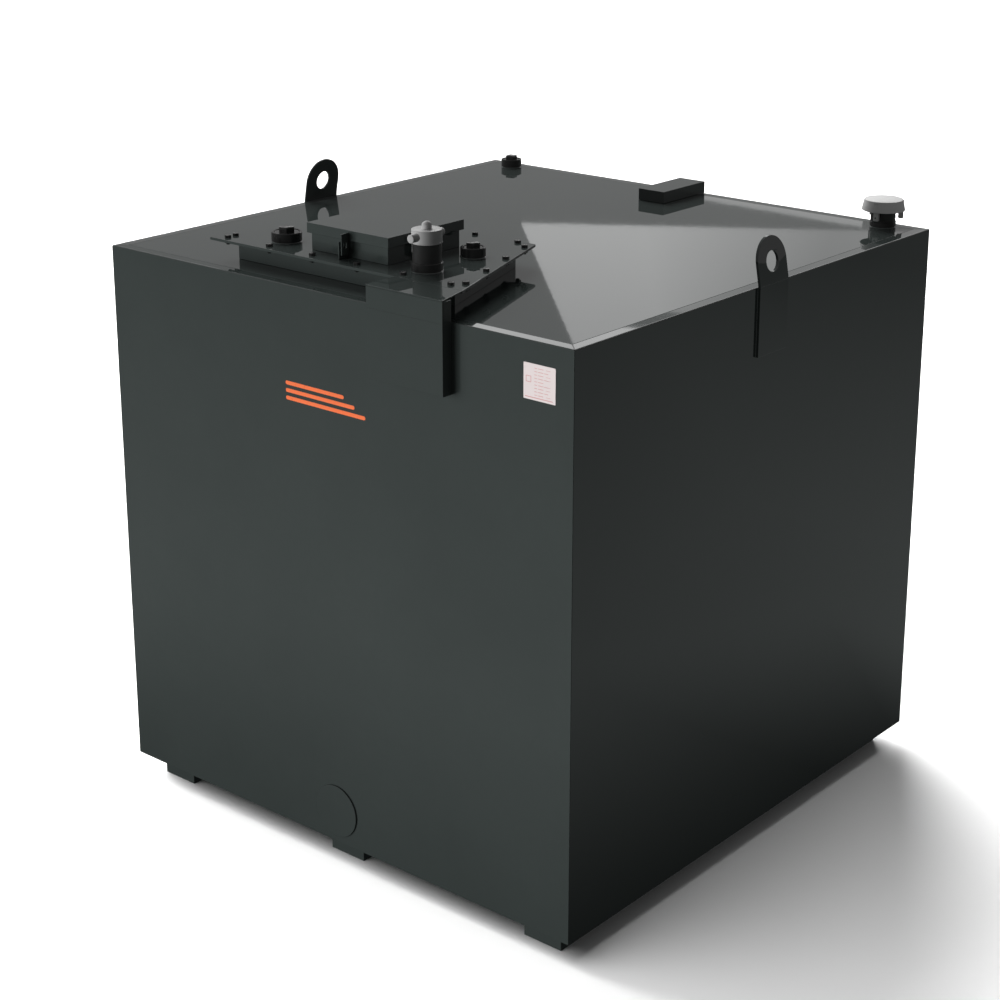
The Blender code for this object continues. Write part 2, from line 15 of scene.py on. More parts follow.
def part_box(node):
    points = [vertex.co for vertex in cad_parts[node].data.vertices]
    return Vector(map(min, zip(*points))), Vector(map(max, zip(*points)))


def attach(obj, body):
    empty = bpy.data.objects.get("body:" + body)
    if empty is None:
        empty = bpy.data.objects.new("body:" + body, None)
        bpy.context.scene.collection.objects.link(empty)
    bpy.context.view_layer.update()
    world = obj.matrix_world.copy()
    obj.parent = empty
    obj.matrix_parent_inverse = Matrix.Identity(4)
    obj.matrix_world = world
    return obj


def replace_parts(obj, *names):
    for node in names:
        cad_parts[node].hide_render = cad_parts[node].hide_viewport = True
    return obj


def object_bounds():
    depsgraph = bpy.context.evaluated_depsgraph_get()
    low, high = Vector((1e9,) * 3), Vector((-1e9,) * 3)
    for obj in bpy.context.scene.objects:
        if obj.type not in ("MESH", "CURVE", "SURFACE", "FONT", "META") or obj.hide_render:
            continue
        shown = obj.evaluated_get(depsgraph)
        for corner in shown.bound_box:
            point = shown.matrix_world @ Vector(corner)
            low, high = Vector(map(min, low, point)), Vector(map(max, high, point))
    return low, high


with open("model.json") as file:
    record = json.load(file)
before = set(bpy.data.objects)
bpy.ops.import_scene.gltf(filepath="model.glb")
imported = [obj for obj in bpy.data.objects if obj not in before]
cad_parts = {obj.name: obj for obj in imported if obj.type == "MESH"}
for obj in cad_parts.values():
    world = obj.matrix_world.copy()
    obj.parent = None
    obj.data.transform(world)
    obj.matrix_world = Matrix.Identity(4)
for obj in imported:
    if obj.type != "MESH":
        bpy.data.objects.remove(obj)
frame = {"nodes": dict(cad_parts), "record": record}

CAD_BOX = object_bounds()

# Camera, where the photograph was taken from
CAMERA_PLACE = (2.9276, -3.5538, 2.3622)
CAMERA_TURN = math.radians(40.186)
CAMERA_DROP = math.radians(16.891)
CAMERA_LENS = 74.844
CAMERA_SHIFT = -0.12
SENSOR_WIDTH = 36.0

# Surround, as it is seen, as gloss mirrors it and as it lights
SKY_SEEN = 1.0
SKY_MIRRORED = 0.32
SKY_LIGHT = 0.11

# Wide suns, with their width, height and turn in degrees
KEY = {"strength": 4.1, "width": 50.0, "height": 35.0, "turn": 152.0}
FLOOR_KEY = {"strength": 10.3, "width": 65.0, "height": 32.0, "turn": 158.0}
FLOOR_FRONT = {"strength": 2.4, "width": 54.0, "height": 56.0, "turn": 240.0}
FILL = {"strength": 3.5, "width": 50.0, "height": -2.0, "turn": 232.0}

# What the fill leaves out, and what throws no shadow in it
UNFILLED = ["floor", "vent_hood", "rear_cover", "lifting_lug_left", "lifting_lug_right"]
CLEAR_TO_FILL = ["gauge_head", "floor"]

# Panels behind the tank, placed from the camera's mirror image below the top plate
PANEL_FACING = math.radians(34.3)
PANEL_DISTANCE = 10.9
PANEL_FALL_START = 0.2
PANEL_FALL_END = 0.5
REAR_PANEL_LEFT = math.tan(math.radians(5.3))
REAR_PANEL_RIGHT = math.tan(math.radians(12.0))
REAR_PANEL_FOOT = math.tan(math.radians(12.62))
REAR_PANEL_LEAN = math.radians(23.7)
REAR_PANEL_LENGTH = 9.0
REAR_PANEL_RADIANCE = 0.80
REAR_PANEL_FALL = 0.40
WEDGE_SLANT = math.atan(0.155)
WEDGE_ASIDE = 0.05
WEDGE_TOP = 2.292
WEDGE_WIDTH = 0.86
WEDGE_HEIGHT = 0.2
WEDGE_RADIANCE = 0.50
EDGE_PANEL_REACH = math.tan(math.radians(22.0))
EDGE_PANEL_FOOT = math.tan(math.radians(17.6))
EDGE_PANEL_HEIGHT = 2.4
EDGE_PANEL_RADIANCE = 1.5

# Floor
FLOOR_RADIUS = 30.0
FLOOR_STEPS = 96

# The floor's painted reflection, a dim emission that gloss sees in place of the lit paper: its tone, a
# painted shadow beside the tank and painted dimming far away
FLOOR_REFLECTION_TONE = 0.335
PAINTED_SHADOW_START = -0.2
PAINTED_SHADOW_END = 1.0
PAINTED_SHADOW_SHRINK = 0.32
PAINTED_SHADOW_SHRINK_START = 0.4
PAINTED_SHADOW_SHRINK_END = 1.2
PAINTED_DIMMING_START = 1.2
PAINTED_DIMMING_END = 4.5
PAINTED_DIMMING_LEVEL = 0.50
FLOOR_REFLECTION_TINT = (0.92, 1.0, 0.98, 1.0)

# Coats: slow patches of tone, fine specks that soften them, and the detail of their bumps
PATCHES = {"scale": 2.3, "detail": 5.0, "roughness": 0.62}
SPECKS = {"scale": 60.0, "detail": 4.0, "roughness": 0.7}
SPECK_SHARE = 0.7
BUMP_DETAIL = 2.0

# Folded edges around the tank's top
FLANGE_WIDTH = 0.027
FLANGE_SKIN = 0.0005
FLANGE_SLOPE = 0.05
SEAM_WIDTH = 0.0024
SEAM_START = 0.0015
SEAM_HEIGHT = 0.00015

# Broken edges of the sheets, and the angle above which an edge is broken
EDGE = 0.0007
EDGE_SEGMENTS = 2
SHARP_ANGLE = math.radians(35.0)
WELD_DISTANCE = 0.00001
FLAT_WEIGHT = 100

# Turned and rounded pieces, and the small gap or overlap where pieces meet
ROUND_STEPS = 72
SMALL_STEPS = 20
CORNER_STEPS = 5
ROUNDING = 0.0012
ROUNDING_STEPS = 4
CONTACT = 0.0003

# Hatch, a trapezoid with its long side at the front, and its M8 bolts
HATCH_FRONT_WIDTH = 0.726
HATCH_BACK_WIDTH = 0.442
FRONT_BOLTS = 6
FRONT_BOLT_LEFT = -0.362
FRONT_BOLT_PITCH = 0.129
FRONT_BOLT_INSET = 0.023
SIDE_BOLTS = 4
SIDE_BOLT_FIRST = 0.047
SIDE_BOLT_PITCH = 0.1063
SIDE_BOLT_INSET = 0.0145
BACK_BOLTS = 4
BACK_BOLT_REACH = 0.181
BACK_BOLT_INSET = 0.012
BOLT_FLATS = 0.013
BOLT_HEAD = 0.0053
BOLT_RADIUS = 0.004
BOLT_PITCH = 0.00125
NUT_HEIGHT = 0.0065
THREAD_REACH = 0.0035
THREAD_DEPTH = 0.0005
THREAD_TIP = 0.0009
BOLT_TURN_STEP = 2.4
HEX_CHAMFER = math.radians(30.0)
HEX_CHAMFER_PARTS = (0.0, 0.35, 0.7, 1.0)
HEX_FACE_PART = 0.475
HEX_STEPS = 36

# Square heads of the plugs: side and turn in degrees
PLUG_HEADS = {"left": (0.0243, 0.0), "right": (0.0215, -4.0), "rear": (0.0225, 10.0)}
SOCKET_WALL = 0.006
SOCKET_CHAMFER = 0.0012
PLUG_RECESS = 0.0010
HEAD_CHAMFER = 0.0016
HEAD_CHAMFER_RISE = 0.6
HEAD_CORNER_PART = 0.8

# Level gauge
GAUGE_HEAD_RADIUS = 0.0320
GAUGE_KNOB_RADIUS = 0.0103
GAUGE_KNOB_RISE = 0.016
GAUGE_KNOB_DOME = 0.0085
GAUGE_KNOB_FOOT = 0.0008
GAUGE_KNOB_DOME_PART = 0.97
KNOB_STEPS = 8
GAUGE_STUB_RADIUS = 0.0087
GAUGE_STUB_DROP = 0.0134
GAUGE_STUB_ROOT = 0.7
GAUGE_STUB_EDGE = 0.0008
GAUGE_STUB_EDGE_STEPS = 2
GAUGE_STUB_DOME = 0.006
GAUGE_STUB_DOME_END = 84.0
GAUGE_STUB_STEPS = 40
# Light strips down the pipe's two sides, turned to lie across the camera's view: painted highlights on its
# glossy edges
PIPE_HIGHLIGHT_WIDTH = 0.0024
PIPE_HIGHLIGHT_SHEET = 0.0010
PIPE_HIGHLIGHT_TAPER = 0.7
PIPE_HIGHLIGHT_DROP = 0.0200
PIPE_HIGHLIGHT_TURN = 42.2
GAUGE_PIPE_RADIUS = 0.0301
GAUGE_LIP = 0.0022
GAUGE_LIP_EDGE = 0.0006
GAUGE_LIP_STEP = 0.0005

# Vent
VENT_TOP_RADIUS = 0.045
VENT_SHEET = 0.0025
VENT_NECK_RADIUS = 0.0288
VENT_COLLAR_HEIGHT = 0.013
VENT_COLLAR_EDGE = 0.0008
VENT_CENTRE = 0.0004
VENT_RIM = 0.039
VENT_RIM_EDGE = 0.0006
VENT_EDGE_START = 80.0
VENT_EDGE_END = 10.0
VENT_LEG_SIDE = 0.011
VENT_LEG_BOTTOM = 0.019
VENT_LEG_EDGE = 0.0007
VENT_LEG_RADIUS = 0.0405
VENT_LEG_TURNS = (-82.5, 37.5, 157.5)
VENT_SCREW_RADIUS = 0.0018
VENT_SCREW_RISE = 0.0075
VENT_SCREW_HEIGHT = 0.0006
VENT_SCREW_EDGE = 0.0003

# Weld beads
BEAD_SIZE = 0.0013
BEAD_PITCH = 0.0036
BEAD_STEP = 0.0012
BEAD_RIPPLE = 0.10
BEAD_RIPPLE_STEPS = 3
BEAD_SHOULDER_FAR = 0.72
BEAD_SHOULDER_NEAR = 0.45
LUG_DROP = 0.148

# Data plate on the front wall
LABEL_LEFT = 0.536
LABEL_RIGHT = 0.6136
LABEL_BOTTOM = 1.186
LABEL_TOP = 1.2575
LABEL_SHEET = 0.0008
LABEL_CORNER = 0.0015
INK_SHEET = 0.0001

# Print on the plate: rows of dashes beside an empty stamp box, and a rule at the foot
PRINT_ROWS = 9
PRINT_TOP = 0.0085
PRINT_PITCH = 0.0066
PRINT_LEFT = 0.0265
PRINT_HEIGHT = 0.0009
PRINT_SPACE = 0.0022
DASH_LENGTH = 0.0065
DASH_LENGTH_STEP = 0.0032
SIDE_DASH_LEFT = 0.0230
SIDE_DASH_RIGHT = 0.0125
SIDE_DASH_HEIGHT = 0.0006
FOOT_RULE_LEFT = 0.0040
FOOT_RULE_RIGHT = 0.0060
FOOT_RULE_BOTTOM = 0.0045
FOOT_RULE_HEIGHT = 0.0012
STAMP_LEFT = 0.0060
STAMP_BOTTOM = 0.0340
STAMP_SIDE = 0.0125
STAMP_LINE = 0.0010

# Marking on the front wall
MARKING_LEFT = -0.112
MARKING_RIGHT = 0.118
MARKING_BOTTOM = 1.0520
MARKING_STRIPE = 0.0085
MARKING_END_FLAT = 0.0001
MARKING_PITCH = 0.0165
MARKING_STRIPES = 3
MARKING_STEP_BACK = 0.030
MARKING_SHEET = 0.0003


def box_of(name):
    """A node's lowest and highest corners as vectors."""
    low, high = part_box(name)
    return Vector(low), Vector(high)


def round_node(name):
    """An upright round node's lowest and highest height, its radius and the place of its axis."""
    low, high = box_of(name)
    middle = (low + high) / 2
    return low.z, high.z, (high.x - low.x) / 2, Matrix.Translation((middle.x, middle.y, 0.0))


FRONT_LOW, FRONT_HIGH = box_of("front_wall")
BACK_LOW, BACK_HIGH = box_of("back_wall")
BODY_TOP = FRONT_HIGH.z
FRONT_Y = FRONT_LOW.y
BODY_MIDDLE_Y = (FRONT_LOW.y + BACK_HIGH.y) / 2
BODY_HALF_WIDTH = box_of("right_wall")[1].x
BODY_HALF_DEPTH = (BACK_HIGH.y - FRONT_LOW.y) / 2
HATCH_LOW, HATCH_HIGH = box_of("hatch_plate")
HATCH_TOP = HATCH_HIGH.z
HATCH_X = (HATCH_LOW.x + HATCH_HIGH.x) / 2


class Nodes:
    """A short way to add shader nodes and link them."""

    def __init__(self, tree):
        self.tree = tree

    def add(self, kind, settings=None, **inputs):
        node = self.tree.nodes.new(kind)
        for key, value in (settings or {}).items():
            setattr(node, key, value)
        for key, value in inputs.items():
            self.put(node.inputs[key.replace("_", " ")], value)
        return node

    def put(self, socket, value):
        if isinstance(value, bpy.types.NodeSocket):
            self.tree.links.new(value, socket)
        else:
            socket.default_value = value


def mix_colours(nodes, factor, first, second):
    """One colour of two, by a factor from another node."""
    mix = nodes.add("ShaderNodeMix", {"data_type": "RGBA"})
    nodes.put(mix.inputs["Factor"], factor)
    nodes.put(mix.inputs["A"], (*first, 1.0))
    nodes.put(mix.inputs["B"], (*second, 1.0))
    return mix.outputs["Result"]


def spread(nodes, value, low, high, from_low=0.3, from_high=0.7, blend="LINEAR"):
    """A range of a value, by default a noise's middle, stretched between two others."""
    ranged = nodes.add("ShaderNodeMapRange", {"interpolation_type": blend})
    nodes.put(ranged.inputs["Value"], value)
    nodes.put(ranged.inputs["From Min"], from_low)
    nodes.put(ranged.inputs["From Max"], from_high)
    nodes.put(ranged.inputs["To Min"], low)
    nodes.put(ranged.inputs["To Max"], high)
    return ranged.outputs["Result"]


def noise(nodes, place, scale, detail, roughness=0.5):
    texture = nodes.add("ShaderNodeTexNoise", Vector=place, Scale=scale, Detail=detail, Roughness=roughness)
    return texture.outputs["Fac"]


def calculate(nodes, operation, *values):
    """The result of one arithmetic step on values or sockets."""
    step = nodes.add("ShaderNodeMath", {"operation": operation})
    for socket, value in zip(step.inputs, values):
        nodes.put(socket, value)
    return step.outputs[0]


def beyond_body(nodes, place, inset=0.0):
    """How far a place lies outside the body's walls, each moved in by an inset, and its height."""
    x, y, z = nodes.add("ShaderNodeSeparateXYZ", Vector=place).outputs
    y = calculate(nodes, "SUBTRACT", y, BODY_MIDDLE_Y)
    beyond = [
        calculate(nodes, "SUBTRACT", calculate(nodes, "ABSOLUTE", axis), reach - inset)
        for axis, reach in ((x, BODY_HALF_WIDTH), (y, BODY_HALF_DEPTH))
    ]
    return calculate(nodes, "MAXIMUM", calculate(nodes, "MAXIMUM", *beyond), 0.0), z


def slope_flanges(material):
    """Let the folded edges around the tank's top slope a little down towards its outline."""
    tree = material.node_tree
    nodes = Nodes(tree)
    shader = tree.nodes["Principled BSDF"]
    place = nodes.add("ShaderNodeTexCoord").outputs["Object"]
    beyond, z = beyond_body(nodes, place, FLANGE_WIDTH)
    on_top = calculate(nodes, "COMPARE", z, BODY_TOP, FLANGE_SKIN)
    fall = calculate(nodes, "MULTIPLY", calculate(nodes, "MULTIPLY", beyond, on_top), -FLANGE_SLOPE)
    bump = nodes.add("ShaderNodeBump", Strength=1.0, Distance=1.0)
    nodes.put(bump.inputs["Height"], fall)
    nodes.put(bump.inputs["Normal"], shader.inputs["Normal"].links[0].from_socket)
    nodes.put(shader.inputs["Normal"], bump.outputs["Normal"])


def finish_material(name, dark, light, gloss, ior, grain, mottle, metallic=0.0):
    """A coated surface: two close tones, uneven gloss, a fine grain and a slow waviness.

    gloss is the lowest and highest roughness, and grain and mottle are each a size of
    feature and a height, in metres.
    """
    material = bpy.data.materials.new(name)
    material.use_nodes = True
    tree = material.node_tree
    nodes = Nodes(tree)
    shader = tree.nodes["Principled BSDF"]
    place = nodes.add("ShaderNodeTexCoord").outputs["Object"]
    patches = noise(nodes, place, **PATCHES)
    specks = noise(nodes, place, **SPECKS)
    uneven = spread(nodes, patches, 0.0, 1.0)
    tone = calculate(nodes, "MULTIPLY", uneven, spread(nodes, specks, SPECK_SHARE, 1.0))
    nodes.put(shader.inputs["Base Color"], mix_colours(nodes, tone, dark, light))
    nodes.put(shader.inputs["Roughness"], spread(nodes, specks, gloss[0], gloss[1]))
    shader.inputs["IOR"].default_value = ior
    shader.inputs["Metallic"].default_value = metallic
    bumps = None
    for size, height in (mottle, grain):
        bump = nodes.add("ShaderNodeBump", Strength=1.0, Distance=height)
        nodes.put(bump.inputs["Height"], noise(nodes, place, 1.0 / size, BUMP_DETAIL))
        if bumps is not None:
            nodes.put(bump.inputs["Normal"], bumps)
        bumps = bump.outputs["Normal"]
    nodes.put(shader.inputs["Normal"], bumps)
    return material


PAINT = finish_material(
    "satin_grey_paint", dark=(0.0325, 0.0396, 0.0380), light=(0.0385, 0.0468, 0.0448),
    gloss=(0.015, 0.035), ior=1.5, grain=(0.0016, 0.000001), mottle=(0.045, 0.000012)
)
slope_flanges(PAINT)
FITTING_PAINT = finish_material(
    "black_fitting_paint", dark=(0.012, 0.012, 0.012), light=(0.018, 0.018, 0.018),
    gloss=(0.10, 0.18), ior=1.4, grain=(0.0012, 0.000004), mottle=(0.012, 0.00002)
)
PIPE_BLACK = finish_material(
    "black_gauge_pipe", dark=(0.014, 0.014, 0.014), light=(0.019, 0.019, 0.019),
    gloss=(0.26, 0.34), ior=1.4, grain=(0.0012, 0.000004), mottle=(0.02, 0.00001)
)
BOLT_PAINT = finish_material(
    "black_bolt_finish", dark=(0.010, 0.010, 0.010), light=(0.020, 0.020, 0.020),
    gloss=(0.22, 0.38), ior=1.45, grain=(0.0009, 0.00001), mottle=(0.006, 0.00003)
)
WHITE_PLASTIC = finish_material(
    "white_vent_plastic", dark=(0.74, 0.74, 0.735), light=(0.80, 0.80, 0.795),
    gloss=(0.36, 0.46), ior=1.46, grain=(0.0011, 0.00001), mottle=(0.02, 0.00004)
)
GREY_PLASTIC = finish_material(
    "grey_gauge_plastic", dark=(0.30, 0.30, 0.30), light=(0.34, 0.34, 0.34),
    gloss=(0.30, 0.42), ior=1.46, grain=(0.0011, 0.00001), mottle=(0.02, 0.00004)
)
ZINC = finish_material(
    "zinc_pin_finish", dark=(0.42, 0.42, 0.40), light=(0.58, 0.58, 0.56),
    gloss=(0.24, 0.40), ior=1.45, grain=(0.0008, 0.000008), mottle=(0.01, 0.00002), metallic=1.0
)
LABEL_WHITE = finish_material(
    "label_white", dark=(0.74, 0.66, 0.655), light=(0.80, 0.72, 0.715),
    gloss=(0.30, 0.40), ior=1.45, grain=(0.0012, 0.000006), mottle=(0.02, 0.00001)
)
LABEL_INK = finish_material(
    "label_ink", dark=(0.60, 0.24, 0.24), light=(0.66, 0.28, 0.28),
    gloss=(0.40, 0.50), ior=1.45, grain=(0.0012, 0.000006), mottle=(0.02, 0.00001)
)
MARKING_ORANGE = finish_material(
    "marking_orange", dark=(0.86, 0.165, 0.048), light=(0.94, 0.190, 0.060),
    gloss=(0.26, 0.36), ior=1.45, grain=(0.0016, 0.000006), mottle=(0.03, 0.00001)
)
FLOOR_PAPER = finish_material(
    "floor_paper", dark=(0.93, 0.93, 0.93), light=(0.95, 0.95, 0.95),
    gloss=(0.85, 0.95), ior=1.10, grain=(0.004, 0.00004), mottle=(0.05, 0.00005)
)


def break_edges(thing):
    """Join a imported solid's triangles at their corners, break its edges and shade it by its flats."""
    weld = thing.modifiers.new("joined", "WELD")
    weld.merge_threshold = WELD_DISTANCE
    bevel = thing.modifiers.new("edges", "BEVEL")
    bevel.width = EDGE
    bevel.segments = EDGE_SEGMENTS
    bevel.limit_method = "ANGLE"
    bevel.angle_limit = SHARP_ANGLE
    normals = thing.modifiers.new("flats", "WEIGHTED_NORMAL")
    normals.weight = FLAT_WEIGHT
    normals.keep_sharp = False


def paint_nodes():
    """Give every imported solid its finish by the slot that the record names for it."""
    finishes = {
        "dark_paint": PAINT,
        "black_steel": FITTING_PAINT,
        "white_plastic": WHITE_PLASTIC,
        "zinc_plate": ZINC
    }
    for entry in frame["record"]["subparts"]:
        thing = frame["nodes"][entry["node"]]
        for slot in thing.material_slots:
            slot.material = finishes[entry["material_slot"]]
        break_edges(thing)


def new_piece(name, builder, material):
    """A finished mesh as a piece of the scene, riding on the tank."""
    bmesh.ops.recalc_face_normals(builder, faces=builder.faces)
    mesh = bpy.data.meshes.new(name)
    builder.to_mesh(mesh)
    builder.free()
    mesh.materials.append(material)
    mesh.shade_smooth()
    mesh.set_sharp_from_angle(angle=SHARP_ANGLE)
    piece = bpy.data.objects.new(name, mesh)
    bpy.context.scene.collection.objects.link(piece)
    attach(piece, "tank")
    return piece


def add_rings(builder, rings, place):
    """A closed solid through rings of the same number of points, with flat ends."""
    rows = [[builder.verts.new(place @ Vector(point)) for point in ring] for ring in rings]
    for lower, upper in zip(rows, rows[1:]):
        for i in range(len(lower)):
            j = (i + 1) % len(lower)
            builder.faces.new((lower[i], lower[j], upper[j], upper[i]))
    builder.faces.new(list(reversed(rows[0])))
    builder.faces.new(rows[-1])


def circle(radius, height, steps):
    """A circle's points at a height."""
    turns = [2 * math.pi * i / steps for i in range(steps)]
    return [(radius * math.cos(turn), radius * math.sin(turn), height) for turn in turns]


def add_turned(builder, profile, place, steps=ROUND_STEPS):
    """A solid turned about Z; the profile is a list of radius and height from bottom to top."""
    add_rings(builder, [circle(radius, height, steps) for radius, height in profile], place)


def hexagon(limit, flats, height):
    """A hexagon's points at a height, cut back to a circle of a limiting radius."""
    points = []
    for i in range(HEX_STEPS):
        turn = 2 * math.pi * i / HEX_STEPS
        within = (turn + math.pi / 6) % (math.pi / 3) - math.pi / 6
        radius = min(flats / 2 / math.cos(within), limit)
        points.append((radius * math.cos(turn), radius * math.sin(turn), height))
    return points


def add_hexagon(builder, flats, height, place, chamfered_below=False):
    """A hexagon head or nut whose corners are turned off at its ends."""
    corner = flats / 2 / math.cos(math.pi / 6)
    face = HEX_FACE_PART * flats
    cut = corner - face
    rise = cut * math.tan(HEX_CHAMFER)
    parts = HEX_CHAMFER_PARTS
    if chamfered_below:
        rings = [hexagon(face + cut * part, flats, rise * part) for part in parts]
    else:
        rings = [hexagon(corner, flats, 0.0)]
    rings += [hexagon(corner - cut * part, flats, height - rise * (1 - part)) for part in parts]
    add_rings(builder, rings, place)


def half_width_at(back):
    """Half the hatch's width at a distance back from its front edge."""
    depth = HATCH_HIGH.y - HATCH_LOW.y
    return (HATCH_FRONT_WIDTH + (HATCH_BACK_WIDTH - HATCH_FRONT_WIDTH) * back / depth) / 2


def bolt_places():
    """Where the hatch's bolts stand, each with a turn of its own."""
    places = []
    for i in range(FRONT_BOLTS):
        places.append((FRONT_BOLT_LEFT + FRONT_BOLT_PITCH * i, HATCH_LOW.y + FRONT_BOLT_INSET))
    for i in range(SIDE_BOLTS):
        back = SIDE_BOLT_FIRST + SIDE_BOLT_PITCH * i
        reach = half_width_at(back) - SIDE_BOLT_INSET
        places.append((HATCH_X - reach, HATCH_LOW.y + back))
        places.append((HATCH_X + reach, HATCH_LOW.y + back))
    for i in range(BACK_BOLTS):
        part = 2 * i / (BACK_BOLTS - 1) - 1
        places.append((HATCH_X + BACK_BOLT_REACH * part, HATCH_HIGH.y - BACK_BOLT_INSET))
    return [(x, y, BOLT_TURN_STEP * i) for i, (x, y) in enumerate(places)]


def thread_profile(start, length):
    """A screw thread's end as rings of ridges, tapered at its tip."""
    profile = []
    count = int(length / BOLT_PITCH * 2)
    for i in range(count + 1):
        depth = 0.0 if i % 2 else THREAD_DEPTH
        profile.append((BOLT_RADIUS - depth, start + BOLT_PITCH / 2 * i))
    profile.append((BOLT_RADIUS - THREAD_TIP, start + length))
    return profile


def add_closed_turned(builder, profile, place):
    """A ring turned about Z from a closed profile of radius and height."""
    rows = []
    for i in range(ROUND_STEPS):
        turn = 2 * math.pi * i / ROUND_STEPS
        rows.append([
            builder.verts.new(place @ Vector((radius * math.cos(turn), radius * math.sin(turn), z)))
            for radius, z in profile
        ])
    for i, row in enumerate(rows):
        after = rows[(i + 1) % ROUND_STEPS]
        for j in range(len(profile)):
            k = (j + 1) % len(profile)
            builder.faces.new((row[j], row[k], after[k], after[j]))


def arc(centre, radius, start, end, steps=ROUNDING_STEPS):
    """Points along an arc, in degrees."""
    turns = [math.radians(start + (end - start) * i / steps) for i in range(steps + 1)]
    return [(centre[0] + radius * math.cos(turn), centre[1] + radius * math.sin(turn)) for turn in turns]


def add_square_head(builder, side, bottom, top, place):
    """A square wrench head with its corners and its top edge taken off."""
    half = side / 2
    cut = HEAD_CHAMFER
    rings = []
    corner = cut * HEAD_CORNER_PART
    for inset, z in ((0.0, bottom), (0.0, top - cut * HEAD_CHAMFER_RISE), (cut, top)):
        reach = half - inset
        ring = []
        for quarter in range(4):
            spin = Matrix.Rotation(math.pi / 2 * quarter, 2)
            for x, y in ((reach, -reach + corner), (reach, reach - corner)):
                point = spin @ Vector((x, y))
                ring.append((point.x, point.y, z))
        rings.append(ring)
    add_rings(builder, rings, place)


def build_plugged_socket(prefix):
    """A half coupling with a screwed plug in it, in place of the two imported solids."""
    bottom, rim, radius, place = round_node(prefix + "_socket")
    bore = radius - SOCKET_WALL
    cut = SOCKET_CHAMFER
    ring = bmesh.new()
    profile = [(bore, bottom), (radius, bottom), (radius, rim - cut), (radius - cut, rim)]
    profile += [(bore + cut / 2, rim), (bore, rim - cut / 2)]
    add_closed_turned(ring, profile, place)
    socket = new_piece(prefix + "_half_coupling", ring, FITTING_PAINT)
    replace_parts(socket, prefix + "_socket")

    side, turn = PLUG_HEADS[prefix]
    top = box_of(prefix + "_plug")[1].z
    body = bore - CONTACT
    seat = rim - PLUG_RECESS
    plug = bmesh.new()
    profile = [(body, bottom), (body, seat - cut), (body - cut, seat)]
    add_turned(plug, profile, place)
    add_square_head(plug, side, seat - CONTACT, top, place @ Matrix.Rotation(math.radians(turn), 4, "Z"))
    piece = new_piece(prefix + "_square_plug", plug, FITTING_PAINT)
    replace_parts(piece, prefix + "_plug")


def build_gauge():
    """The level gauge: a coupling, a glossy pipe and a grey head with a knob and two stubs."""
    foot, rim, radius, place = round_node("gauge_socket")
    bore = GAUGE_PIPE_RADIUS + CONTACT
    cut = SOCKET_CHAMFER
    ring = bmesh.new()
    profile = [(bore, foot), (radius, foot), (radius, rim - cut), (radius - cut, rim), (bore, rim)]
    add_closed_turned(ring, profile, place)
    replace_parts(new_piece("gauge_coupling", ring, FITTING_PAINT), "gauge_socket")

    pipe_low, pipe_high = box_of("gauge_pipe")
    pipe = bmesh.new()
    profile = [(GAUGE_PIPE_RADIUS, pipe_low.z), (GAUGE_PIPE_RADIUS, pipe_high.z)]
    add_turned(pipe, profile, place, 2 * ROUND_STEPS)
    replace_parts(new_piece("gauge_tube", pipe, PIPE_BLACK), "gauge_pipe")

    bottom = pipe_high.z + CONTACT
    top = box_of("gauge_cap")[1].z - GAUGE_KNOB_RISE
    head = bmesh.new()
    add_turned(head, gauge_head_profile(bottom, top), place)
    add_gauge_stubs(head, top - GAUGE_STUB_DROP, place)
    # Light strips down the pipe's sides are painted highlights
    add_painted_pipe_highlights(head, bottom, place)
    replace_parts(new_piece("gauge_head", head, GREY_PLASTIC), "gauge_cap")


def gauge_head_profile(bottom, top):
    """The gauge head's radius and height: a lip, a rounded shoulder and a domed knob."""
    edge = ROUNDING
    outer = GAUGE_HEAD_RADIUS
    side = outer - GAUGE_LIP_STEP
    lip = bottom + GAUGE_LIP
    profile = [(outer - GAUGE_LIP_EDGE, bottom), (outer, bottom + GAUGE_LIP_EDGE), (outer, lip)]
    profile += [(side, lip + GAUGE_LIP_STEP)]
    profile += arc((side - edge, top - edge), edge, 0.0, 90.0)
    knob = GAUGE_KNOB_RADIUS
    profile += [(knob + GAUGE_KNOB_FOOT, top), (knob, top + GAUGE_KNOB_FOOT)]
    dome = top + GAUGE_KNOB_RISE - GAUGE_KNOB_DOME
    for i in range(KNOB_STEPS + 1):
        angle = GAUGE_KNOB_DOME_PART * math.pi / 2 * i / KNOB_STEPS
        profile.append((knob * math.cos(angle), dome + GAUGE_KNOB_DOME * math.sin(angle)))
    return profile


def add_gauge_stubs(builder, height, place):
    """A flat stub at the front of the gauge head and a domed one at its back."""
    low, high = box_of("gauge_cap")
    middle = place.translation.y
    stub = GAUGE_STUB_RADIUS
    flat = (-1, middle - low.y, GAUGE_STUB_EDGE, 90.0, GAUGE_STUB_EDGE_STEPS)
    domed = (1, high.y - middle, GAUGE_STUB_DOME, GAUGE_STUB_DOME_END, KNOB_STEPS)
    for side, reach, edge, turned_to, steps in (flat, domed):
        profile = [(stub, GAUGE_HEAD_RADIUS * GAUGE_STUB_ROOT)]
        profile += arc((stub - edge, reach - edge), edge, 0.0, turned_to, steps)
        lie = Matrix.Rotation(-side * math.pi / 2, 4, "X")
        add_turned(builder, profile, place @ Matrix.Translation((0.0, 0.0, height)) @ lie, GAUGE_STUB_STEPS)


